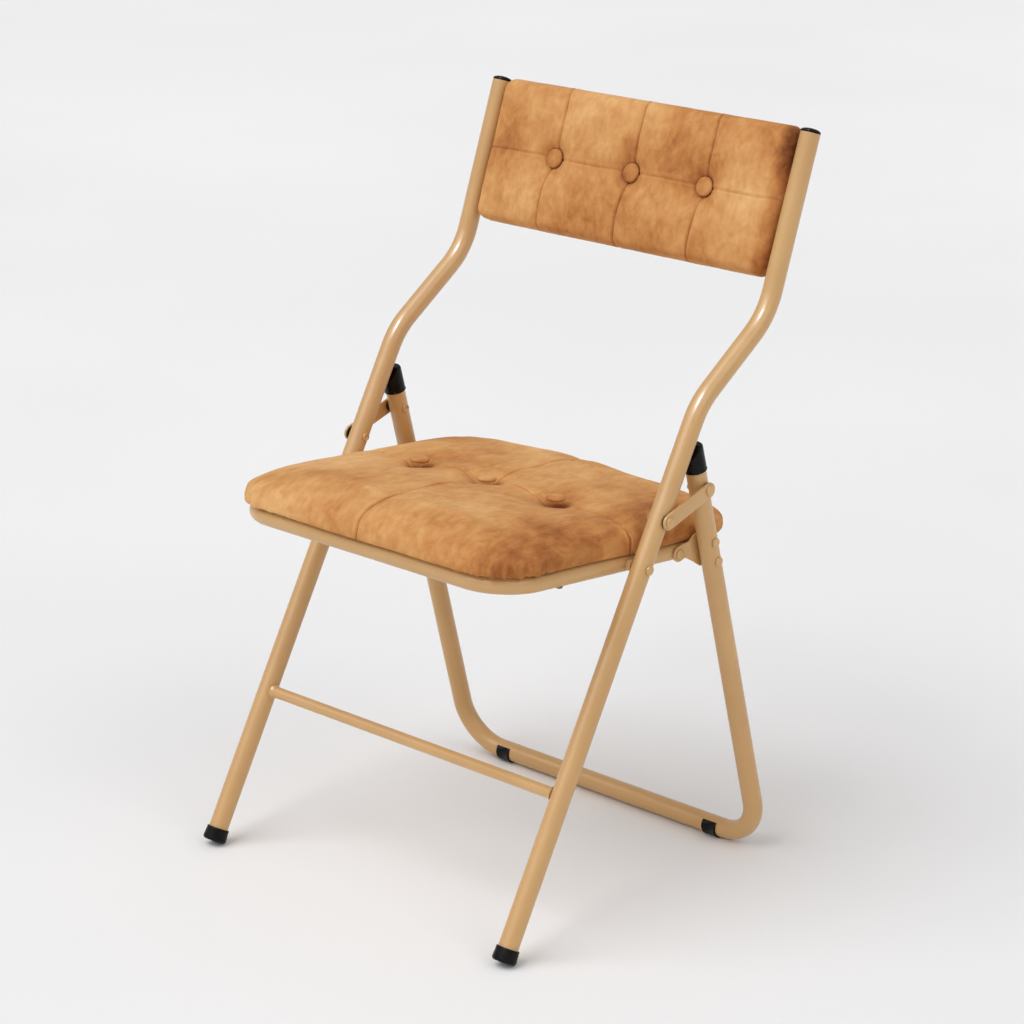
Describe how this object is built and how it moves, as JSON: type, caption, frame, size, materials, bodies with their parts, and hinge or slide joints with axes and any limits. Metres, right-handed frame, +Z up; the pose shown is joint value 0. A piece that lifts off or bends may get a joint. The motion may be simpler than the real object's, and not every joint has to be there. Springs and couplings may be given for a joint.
{
  "type": "folding chair",
  "caption": "Padded steel folding chair: bent tube front frame, swinging rear leg frame and a tufted velvet seat and back pad. The seat lifts up and the rear legs swing in to fold flat.",
  "frame": {"origin": "middle of the open chair's footprint, on the floor", "axes": "+Z up, the chair faces -Y, +X is to the left of a person sitting in it; rest pose is the chair opened out"},
  "size_m": [0.4944, 0.4939, 0.8196],
  "materials": {
    "steel_paint": "satin golden tan powder coat",
    "rivet_paint": "satin golden tan paint over a rivet head",
    "black_plastic": "glossy black moulded plastic",
    "black_rubber": "smooth black rubber",
    "dark_washer": "dull dark brown plastic washer",
    "velvet": "mottled crushed velvet, tan to burnt orange",
    "velvet_button": "the same velvet pulled over a button",
    "plywood": "plain unfinished plywood",
    "zinc_steel": "zinc plated screw"
  },
  "bodies": {
    "front_unit": {"main_tube_left": "steel_paint", "main_tube_right": "steel_paint", "front_foot_left": "black_rubber", "front_foot_right": "black_rubber", "top_plug_left": "black_plastic", "top_plug_right": "black_plastic", "front_stretcher": "steel_paint", "back_board": "plywood", "back_cushion": "velvet", "back_button_1": "velvet_button", "back_button_2": "velvet_button", "back_button_3": "velvet_button", "back_tab_upper_left": "steel_paint", "back_tab_lower_left": "steel_paint", "back_tab_upper_right": "steel_paint", "back_tab_lower_right": "steel_paint", "back_screw_upper_left": "zinc_steel", "back_screw_lower_left": "zinc_steel", "back_screw_upper_right": "zinc_steel", "back_screw_lower_right": "zinc_steel", "seat_pivot_rivet_left": "rivet_paint", "seat_pivot_rivet_right": "rivet_paint", "seat_pivot_spacer_left": "steel_paint", "seat_pivot_spacer_right": "steel_paint", "link_rivet_front_left": "rivet_paint", "link_rivet_front_right": "rivet_paint"},
    "link_unit_left": {"link_left": "steel_paint", "link_washer_front_left": "dark_washer", "link_washer_rear_left": "dark_washer"},
    "link_unit_right": {"link_right": "steel_paint", "link_washer_front_right": "dark_washer", "link_washer_rear_right": "dark_washer"},
    "rear_leg_unit": {"rear_leg_frame": "steel_paint", "rear_cap_left": "black_plastic", "rear_cap_right": "black_plastic", "floor_glide_left": "black_plastic", "floor_glide_right": "black_plastic", "bracket_left": "steel_paint", "bracket_right": "steel_paint", "bracket_rivet_upper_left": "rivet_paint", "bracket_rivet_lower_left": "rivet_paint", "bracket_rivet_upper_right": "rivet_paint", "bracket_rivet_lower_right": "rivet_paint", "bracket_pivot_rivet_left": "rivet_paint", "bracket_pivot_rivet_right": "rivet_paint", "link_rivet_rear_left": "rivet_paint", "link_rivet_rear_right": "rivet_paint"},
    "seat_unit": {"seat_frame": "steel_paint", "seat_board": "plywood", "seat_cushion": "velvet", "seat_button_1": "velvet_button", "seat_button_2": "velvet_button", "seat_button_3": "velvet_button", "seat_screw_1": "zinc_steel", "seat_screw_2": "zinc_steel", "seat_screw_3": "zinc_steel", "seat_screw_4": "zinc_steel"}
  },
  "joints": [
    {"name": "seat_fold", "type": "hinge", "parent": "front_unit", "child": "seat_unit", "pos_m": [0, -0.02672, 0.386], "axis": [-1, 0, 0], "range_deg": [0, 117]},
    {"name": "link_left_swing", "type": "hinge", "parent": "front_unit", "child": "link_unit_left", "pos_m": [-0.243, -0.00061, 0.4335], "axis": [-1, 0, 0], "range_deg": [0, 114.7]},
    {"name": "link_right_swing", "type": "hinge", "parent": "front_unit", "child": "link_unit_right", "pos_m": [0.243, -0.00061, 0.4335], "axis": [-1, 0, 0], "range_deg": [0, 114.7]},
    {"name": "rear_leg_fold", "type": "hinge", "parent": "link_unit_left", "child": "rear_leg_unit", "pos_m": [-0.243, 0.06297, 0.45436], "axis": [1, 0, 0], "range_deg": [0, 71.8]}
  ],
  "couplings": [
    {"joint": "link_left_swing", "follows": "seat_fold", "ratio": 0.97957},
    {"joint": "link_right_swing", "follows": "seat_fold", "ratio": 0.97957},
    {"joint": "rear_leg_fold", "follows": "seat_fold", "ratio": 0.61262}
  ]
}
